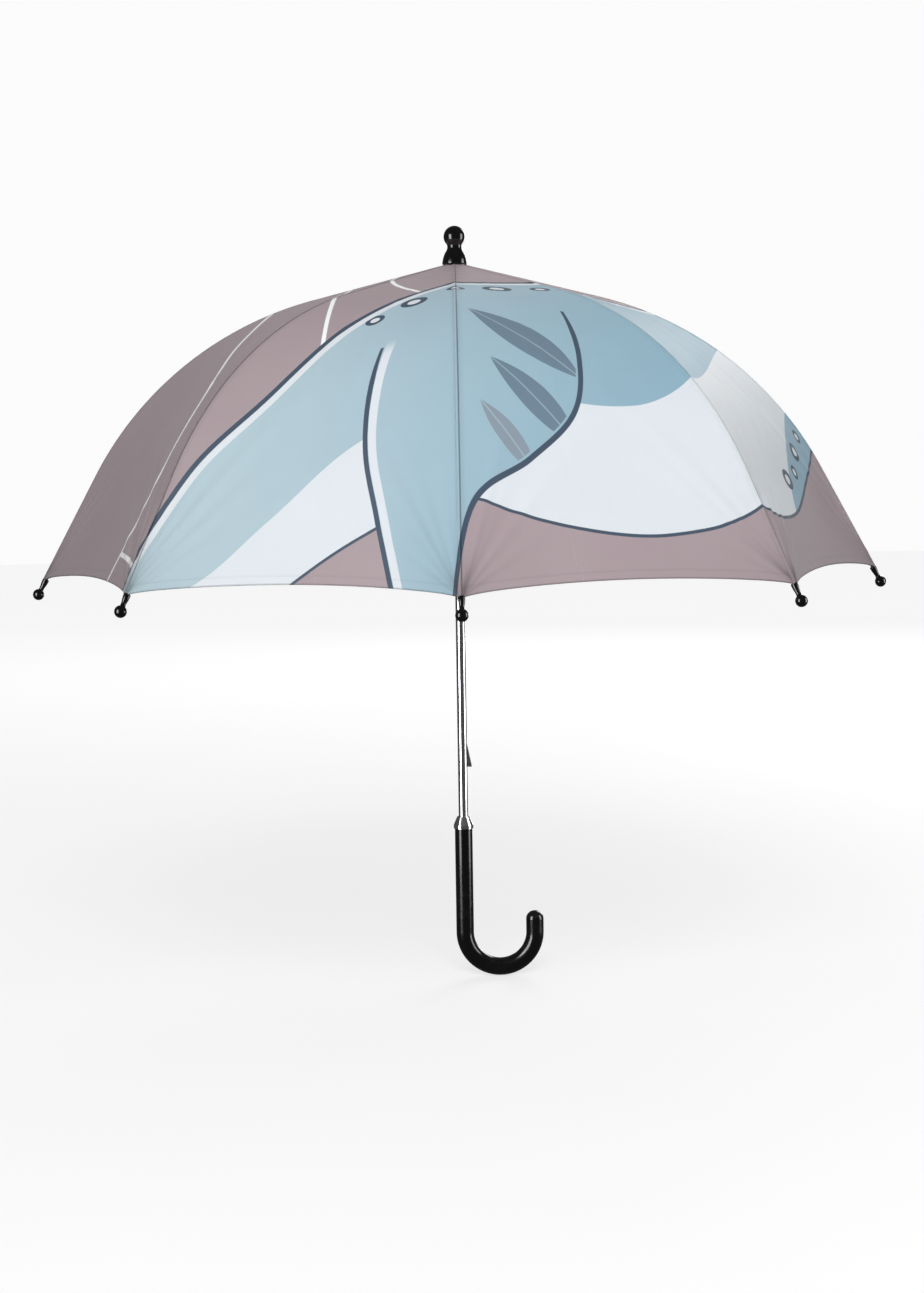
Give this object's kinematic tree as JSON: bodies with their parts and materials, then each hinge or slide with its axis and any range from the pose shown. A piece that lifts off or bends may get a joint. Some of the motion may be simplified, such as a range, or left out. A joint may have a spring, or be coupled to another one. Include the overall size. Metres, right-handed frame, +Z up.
{
  "type": "childrens umbrella",
  "caption": "Open stick umbrella for a child: domed cloth canopy on folding ribs, sliding runner, round finial and tips, crook handle.",
  "frame": {"origin": "on the shaft's axis, level with the lowest point of the crook handle", "axes": "+Z up the shaft towards the finial; +X the way the crook opens; rib 1 points towards -Y"},
  "size_m": [0.7254, 0.7254, 0.6386],
  "materials": {
    "shaft_steel": "polished plated steel tube",
    "handle_plastic": "glossy moulded black",
    "tip_plastic": "glossy moulded black",
    "hub_plastic": "moulded black",
    "collar_chrome": "polished plated",
    "rib_steel": "black enamelled channel",
    "wire_steel": "plain wire",
    "catch_steel": "spring steel strip",
    "canopy_cloth": "printed woven polyester with a slight sheen",
    "washer_cloth": "black cloth disc",
    "strap_cloth": "hemmed strap of the canopy cloth"
  },
  "bodies": {
    "shaft": {"shaft_tube": "shaft_steel", "crown": "hub_plastic", "crown_wire": "wire_steel", "canopy_washer": "washer_cloth", "finial": "tip_plastic", "handle": "handle_plastic", "handle_collar": "collar_chrome"},
    "open_catch": {"open_catch": "catch_steel"},
    "closed_catch": {"closed_catch": "catch_steel"},
    "runner": {"runner": "hub_plastic", "runner_wire": "wire_steel"},
    "rib_1_inner": {"rib_1_inner": "rib_steel"},
    "rib_1_outer": {"rib_1_outer": "rib_steel", "rib_1_tip": "tip_plastic"},
    "stretcher_1": {"stretcher_1": "rib_steel"},
    "panel_1_upper": {"panel_1_upper": "canopy_cloth"},
    "panel_1_lower": {"panel_1_lower": "canopy_cloth"},
    "rib_2_inner": {"rib_2_inner": "rib_steel"},
    "rib_2_outer": {"rib_2_outer": "rib_steel", "rib_2_tip": "tip_plastic"},
    "stretcher_2": {"stretcher_2": "rib_steel"},
    "panel_2_upper": {"panel_2_upper": "canopy_cloth"},
    "panel_2_lower": {"panel_2_lower": "canopy_cloth"},
    "rib_3_inner": {"rib_3_inner": "rib_steel"},
    "rib_3_outer": {"rib_3_outer": "rib_steel", "rib_3_tip": "tip_plastic"},
    "stretcher_3": {"stretcher_3": "rib_steel"},
    "panel_3_upper": {"panel_3_upper": "canopy_cloth"},
    "panel_3_lower": {"panel_3_lower": "canopy_cloth"},
    "rib_4_inner": {"rib_4_inner": "rib_steel"},
    "rib_4_outer": {"rib_4_outer": "rib_steel", "rib_4_tip": "tip_plastic"},
    "stretcher_4": {"stretcher_4": "rib_steel"},
    "panel_4_upper": {"panel_4_upper": "canopy_cloth"},
    "panel_4_lower": {"panel_4_lower": "canopy_cloth", "closing_strap": "strap_cloth"},
    "rib_5_inner": {"rib_5_inner": "rib_steel"},
    "rib_5_outer": {"rib_5_outer": "rib_steel", "rib_5_tip": "tip_plastic"},
    "stretcher_5": {"stretcher_5": "rib_steel"},
    "panel_5_upper": {"panel_5_upper": "canopy_cloth"},
    "panel_5_lower": {"panel_5_lower": "canopy_cloth"},
    "rib_6_inner": {"rib_6_inner": "rib_steel"},
    "rib_6_outer": {"rib_6_outer": "rib_steel", "rib_6_tip": "tip_plastic"},
    "stretcher_6": {"stretcher_6": "rib_steel"},
    "panel_6_upper": {"panel_6_upper": "canopy_cloth"},
    "panel_6_lower": {"panel_6_lower": "canopy_cloth"},
    "rib_7_inner": {"rib_7_inner": "rib_steel"},
    "rib_7_outer": {"rib_7_outer": "rib_steel", "rib_7_tip": "tip_plastic"},
    "stretcher_7": {"stretcher_7": "rib_steel"},
    "panel_7_upper": {"panel_7_upper": "canopy_cloth"},
    "panel_7_lower": {"panel_7_lower": "canopy_cloth"},
    "rib_8_inner": {"rib_8_inner": "rib_steel"},
    "rib_8_outer": {"rib_8_outer": "rib_steel", "rib_8_tip": "tip_plastic"},
    "stretcher_8": {"stretcher_8": "rib_steel"},
    "panel_8_upper": {"panel_8_upper": "canopy_cloth"},
    "panel_8_lower": {"panel_8_lower": "canopy_cloth"}
  },
  "joints": [
    {"name": "rib_1_fold", "type": "hinge", "parent": "shaft", "child": "rib_1_inner", "pos_m": [0, -0.009, 0.597], "axis": [1, 0, 0], "range_deg": [0, 71.88], "deforming": ["panel_1_upper", "panel_1_lower", "panel_2_upper", "panel_2_lower", "panel_3_upper", "panel_3_lower", "panel_4_upper", "panel_4_lower", "panel_5_upper", "panel_5_lower", "panel_6_upper", "panel_6_lower", "panel_7_upper", "panel_7_lower", "panel_8_upper", "panel_8_lower", "closing_strap", "open_catch", "closed_catch"]},
    {"name": "rib_1_bend", "type": "hinge", "parent": "rib_1_inner", "child": "rib_1_outer", "pos_m": [0, -0.19225, 0.54679], "axis": [1, 0, 0], "range_deg": [-34.76, 0]},
    {"name": "stretcher_1_swing", "type": "hinge", "parent": "rib_1_inner", "child": "stretcher_1", "pos_m": [0, -0.19225, 0.54679], "axis": [1, 0, 0], "range_deg": [-143.77, 0]},
    {"name": "panel_1_fold", "type": "hinge", "parent": "shaft", "child": "panel_1_upper", "pos_m": [0.00318, -0.00768, 0.597], "axis": [0.9239, 0.3827, 0], "range_deg": [0, 71.89]},
    {"name": "panel_1_bend", "type": "hinge", "parent": "panel_1_upper", "child": "panel_1_lower", "pos_m": [0.06837, -0.16506, 0.5488], "axis": [0.9239, 0.3827, 0], "range_deg": [-34.76, 0]},
    {"name": "runner_travel", "type": "hinge", "parent": "stretcher_1", "child": "runner", "pos_m": [0, -0.009, 0.49659], "axis": [1, 0, 0], "range_deg": [0, 71.89]},
    {"name": "rib_2_fold", "type": "hinge", "parent": "shaft", "child": "rib_2_inner", "pos_m": [0.00636, -0.00636, 0.597], "axis": [0.7071, 0.7071, 0], "range_deg": [0, 71.89]},
    {"name": "rib_2_bend", "type": "hinge", "parent": "rib_2_inner", "child": "rib_2_outer", "pos_m": [0.13594, -0.13594, 0.54679], "axis": [0.7071, 0.7071, 0], "range_deg": [-34.76, 0]},
    {"name": "stretcher_2_swing", "type": "hinge", "parent": "rib_2_inner", "child": "stretcher_2", "pos_m": [0.13594, -0.13594, 0.54679], "axis": [0.7071, 0.7071, 0], "range_deg": [-143.77, 0]},
    {"name": "panel_2_fold", "type": "hinge", "parent": "shaft", "child": "panel_2_upper", "pos_m": [0.00768, -0.00318, 0.597], "axis": [0.3827, 0.9239, 0], "range_deg": [0, 71.89]},
    {"name": "panel_2_bend", "type": "hinge", "parent": "panel_2_upper", "child": "panel_2_lower", "pos_m": [0.16506, -0.06837, 0.5488], "axis": [0.3827, 0.9239, 0], "range_deg": [-34.76, 0]},
    {"name": "rib_3_fold", "type": "hinge", "parent": "shaft", "child": "rib_3_inner", "pos_m": [0.009, 0, 0.597], "axis": [0, 1, 0], "range_deg": [0, 71.89]},
    {"name": "rib_3_bend", "type": "hinge", "parent": "rib_3_inner", "child": "rib_3_outer", "pos_m": [0.19225, 0, 0.54679], "axis": [0, 1, 0], "range_deg": [-34.76, 0]},
    {"name": "stretcher_3_swing", "type": "hinge", "parent": "rib_3_inner", "child": "stretcher_3", "pos_m": [0.19225, 0, 0.54679], "axis": [0, 1, 0], "range_deg": [-143.77, 0]},
    {"name": "panel_3_fold", "type": "hinge", "parent": "shaft", "child": "panel_3_upper", "pos_m": [0.00768, 0.00318, 0.597], "axis": [-0.3827, 0.9239, 0], "range_deg": [0, 71.89]},
    {"name": "panel_3_bend", "type": "hinge", "parent": "panel_3_upper", "child": "panel_3_lower", "pos_m": [0.16506, 0.06837, 0.5488], "axis": [-0.3827, 0.9239, 0], "range_deg": [-34.76, 0]},
    {"name": "rib_4_fold", "type": "hinge", "parent": "shaft", "child": "rib_4_inner", "pos_m": [0.00636, 0.00636, 0.597], "axis": [-0.7071, 0.7071, 0], "range_deg": [0, 71.89]},
    {"name": "rib_4_bend", "type": "hinge", "parent": "rib_4_inner", "child": "rib_4_outer", "pos_m": [0.13594, 0.13594, 0.54679], "axis": [-0.7071, 0.7071, 0], "range_deg": [-34.76, 0]},
    {"name": "stretcher_4_swing", "type": "hinge", "parent": "rib_4_inner", "child": "stretcher_4", "pos_m": [0.13594, 0.13594, 0.54679], "axis": [-0.7071, 0.7071, 0], "range_deg": [-143.77, 0]},
    {"name": "panel_4_fold", "type": "hinge", "parent": "shaft", "child": "panel_4_upper", "pos_m": [0.00318, 0.00768, 0.597], "axis": [-0.9239, 0.3827, 0], "range_deg": [0, 71.89]},
    {"name": "panel_4_bend", "type": "hinge", "parent": "panel_4_upper", "child": "panel_4_lower", "pos_m": [0.06837, 0.16506, 0.5488], "axis": [-0.9239, 0.3827, 0], "range_deg": [-34.76, 0]},
    {"name": "rib_5_fold", "type": "hinge", "parent": "shaft", "child": "rib_5_inner", "pos_m": [0, 0.009, 0.597], "axis": [-1, 0, 0], "range_deg": [0, 71.89]},
    {"name": "rib_5_bend", "type": "hinge", "parent": "rib_5_inner", "child": "rib_5_outer", "pos_m": [0, 0.19225, 0.54679], "axis": [-1, 0, 0], "range_deg": [-34.76, 0]},
    {"name": "stretcher_5_swing", "type": "hinge", "parent": "rib_5_inner", "child": "stretcher_5", "pos_m": [0, 0.19225, 0.54679], "axis": [-1, 0, 0], "range_deg": [-143.77, 0]},
    {"name": "panel_5_fold", "type": "hinge", "parent": "shaft", "child": "panel_5_upper", "pos_m": [-0.00318, 0.00768, 0.597], "axis": [-0.9239, -0.3827, 0], "range_deg": [0, 71.89]},
    {"name": "panel_5_bend", "type": "hinge", "parent": "panel_5_upper", "child": "panel_5_lower", "pos_m": [-0.06837, 0.16506, 0.5488], "axis": [-0.9239, -0.3827, 0], "range_deg": [-34.76, 0]},
    {"name": "rib_6_fold", "type": "hinge", "parent": "shaft", "child": "rib_6_inner", "pos_m": [-0.00636, 0.00636, 0.597], "axis": [-0.7071, -0.7071, 0], "range_deg": [0, 71.89]},
    {"name": "rib_6_bend", "type": "hinge", "parent": "rib_6_inner", "child": "rib_6_outer", "pos_m": [-0.13594, 0.13594, 0.54679], "axis": [-0.7071, -0.7071, 0], "range_deg": [-34.76, 0]},
    {"name": "stretcher_6_swing", "type": "hinge", "parent": "rib_6_inner", "child": "stretcher_6", "pos_m": [-0.13594, 0.13594, 0.54679], "axis": [-0.7071, -0.7071, 0], "range_deg": [-143.77, 0]},
    {"name": "panel_6_fold", "type": "hinge", "parent": "shaft", "child": "panel_6_upper", "pos_m": [-0.00768, 0.00318, 0.597], "axis": [-0.3827, -0.9239, 0], "range_deg": [0, 71.89]},
    {"name": "panel_6_bend", "type": "hinge", "parent": "panel_6_upper", "child": "panel_6_lower", "pos_m": [-0.16506, 0.06837, 0.5488], "axis": [-0.3827, -0.9239, 0], "range_deg": [-34.76, 0]},
    {"name": "rib_7_fold", "type": "hinge", "parent": "shaft", "child": "rib_7_inner", "pos_m": [-0.009, 0, 0.597], "axis": [0, -1, 0], "range_deg": [0, 71.89]},
    {"name": "rib_7_bend", "type": "hinge", "parent": "rib_7_inner", "child": "rib_7_outer", "pos_m": [-0.19225, 0, 0.54679], "axis": [0, -1, 0], "range_deg": [-34.76, 0]},
    {"name": "stretcher_7_swing", "type": "hinge", "parent": "rib_7_inner", "child": "stretcher_7", "pos_m": [-0.19225, 0, 0.54679], "axis": [0, -1, 0], "range_deg": [-143.77, 0]},
    {"name": "panel_7_fold", "type": "hinge", "parent": "shaft", "child": "panel_7_upper", "pos_m": [-0.00768, -0.00318, 0.597], "axis": [0.3827, -0.9239, 0], "range_deg": [0, 71.89]},
    {"name": "panel_7_bend", "type": "hinge", "parent": "panel_7_upper", "child": "panel_7_lower", "pos_m": [-0.16506, -0.06837, 0.5488], "axis": [0.3827, -0.9239, 0], "range_deg": [-34.76, 0]},
    {"name": "rib_8_fold", "type": "hinge", "parent": "shaft", "child": "rib_8_inner", "pos_m": [-0.00636, -0.00636, 0.597], "axis": [0.7071, -0.7071, 0], "range_deg": [0, 71.89]},
    {"name": "rib_8_bend", "type": "hinge", "parent": "rib_8_inner", "child": "rib_8_outer", "pos_m": [-0.13594, -0.13594, 0.54679], "axis": [0.7071, -0.7071, 0], "range_deg": [-34.76, 0]},
    {"name": "stretcher_8_swing", "type": "hinge", "parent": "rib_8_inner", "child": "stretcher_8", "pos_m": [-0.13594, -0.13594, 0.54679], "axis": [0.7071, -0.7071, 0], "range_deg": [-143.77, 0]},
    {"name": "panel_8_fold", "type": "hinge", "parent": "shaft", "child": "panel_8_upper", "pos_m": [-0.00318, -0.00768, 0.597], "axis": [0.9239, -0.3827, 0], "range_deg": [0, 71.89]},
    {"name": "panel_8_bend", "type": "hinge", "parent": "panel_8_upper", "child": "panel_8_lower", "pos_m": [-0.06837, -0.16506, 0.5488], "axis": [0.9239, -0.3827, 0], "range_deg": [-34.76, 0]},
    {"name": "open_catch_press", "type": "hinge", "parent": "shaft", "child": "open_catch", "pos_m": [0.001, 0, 0.41719], "axis": [0, -1, 0], "range_deg": [0, 8], "stiffness_Nm_per_rad": 0.25},
    {"name": "closed_catch_press", "type": "hinge", "parent": "shaft", "child": "closed_catch", "pos_m": [0.001, 0, 0.21485], "axis": [0, 1, 0], "range_deg": [0, 8], "stiffness_Nm_per_rad": 0.25}
  ],
  "couplings": [
    {"joint": "rib_1_bend", "follows": "rib_1_fold", "ratio": -0.48348},
    {"joint": "stretcher_1_swing", "follows": "rib_1_fold", "ratio": -2},
    {"joint": "panel_1_fold", "follows": "rib_1_fold", "ratio": 1},
    {"joint": "panel_1_bend", "follows": "rib_1_fold", "ratio": -0.48348},
    {"joint": "runner_travel", "follows": "rib_1_fold", "ratio": 1},
    {"joint": "rib_2_fold", "follows": "rib_1_fold", "ratio": 1},
    {"joint": "rib_2_bend", "follows": "rib_1_fold", "ratio": -0.48348},
    {"joint": "stretcher_2_swing", "follows": "rib_1_fold", "ratio": -2},
    {"joint": "panel_2_fold", "follows": "rib_1_fold", "ratio": 1},
    {"joint": "panel_2_bend", "follows": "rib_1_fold", "ratio": -0.48348},
    {"joint": "rib_3_fold", "follows": "rib_1_fold", "ratio": 1},
    {"joint": "rib_3_bend", "follows": "rib_1_fold", "ratio": -0.48348},
    {"joint": "stretcher_3_swing", "follows": "rib_1_fold", "ratio": -2},
    {"joint": "panel_3_fold", "follows": "rib_1_fold", "ratio": 1},
    {"joint": "panel_3_bend", "follows": "rib_1_fold", "ratio": -0.48348},
    {"joint": "rib_4_fold", "follows": "rib_1_fold", "ratio": 1},
    {"joint": "rib_4_bend", "follows": "rib_1_fold", "ratio": -0.48348},
    {"joint": "stretcher_4_swing", "follows": "rib_1_fold", "ratio": -2},
    {"joint": "panel_4_fold", "follows": "rib_1_fold", "ratio": 1},
    {"joint": "panel_4_bend", "follows": "rib_1_fold", "ratio": -0.48348},
    {"joint": "rib_5_fold", "follows": "rib_1_fold", "ratio": 1},
    {"joint": "rib_5_bend", "follows": "rib_1_fold", "ratio": -0.48348},
    {"joint": "stretcher_5_swing", "follows": "rib_1_fold", "ratio": -2},
    {"joint": "panel_5_fold", "follows": "rib_1_fold", "ratio": 1},
    {"joint": "panel_5_bend", "follows": "rib_1_fold", "ratio": -0.48348},
    {"joint": "rib_6_fold", "follows": "rib_1_fold", "ratio": 1},
    {"joint": "rib_6_bend", "follows": "rib_1_fold", "ratio": -0.48348},
    {"joint": "stretcher_6_swing", "follows": "rib_1_fold", "ratio": -2},
    {"joint": "panel_6_fold", "follows": "rib_1_fold", "ratio": 1},
    {"joint": "panel_6_bend", "follows": "rib_1_fold", "ratio": -0.48348},
    {"joint": "rib_7_fold", "follows": "rib_1_fold", "ratio": 1},
    {"joint": "rib_7_bend", "follows": "rib_1_fold", "ratio": -0.48348},
    {"joint": "stretcher_7_swing", "follows": "rib_1_fold", "ratio": -2},
    {"joint": "panel_7_fold", "follows": "rib_1_fold", "ratio": 1},
    {"joint": "panel_7_bend", "follows": "rib_1_fold", "ratio": -0.48348},
    {"joint": "rib_8_fold", "follows": "rib_1_fold", "ratio": 1},
    {"joint": "rib_8_bend", "follows": "rib_1_fold", "ratio": -0.48348},
    {"joint": "stretcher_8_swing", "follows": "rib_1_fold", "ratio": -2},
    {"joint": "panel_8_fold", "follows": "rib_1_fold", "ratio": 1},
    {"joint": "panel_8_bend", "follows": "rib_1_fold", "ratio": -0.48348}
  ]
}
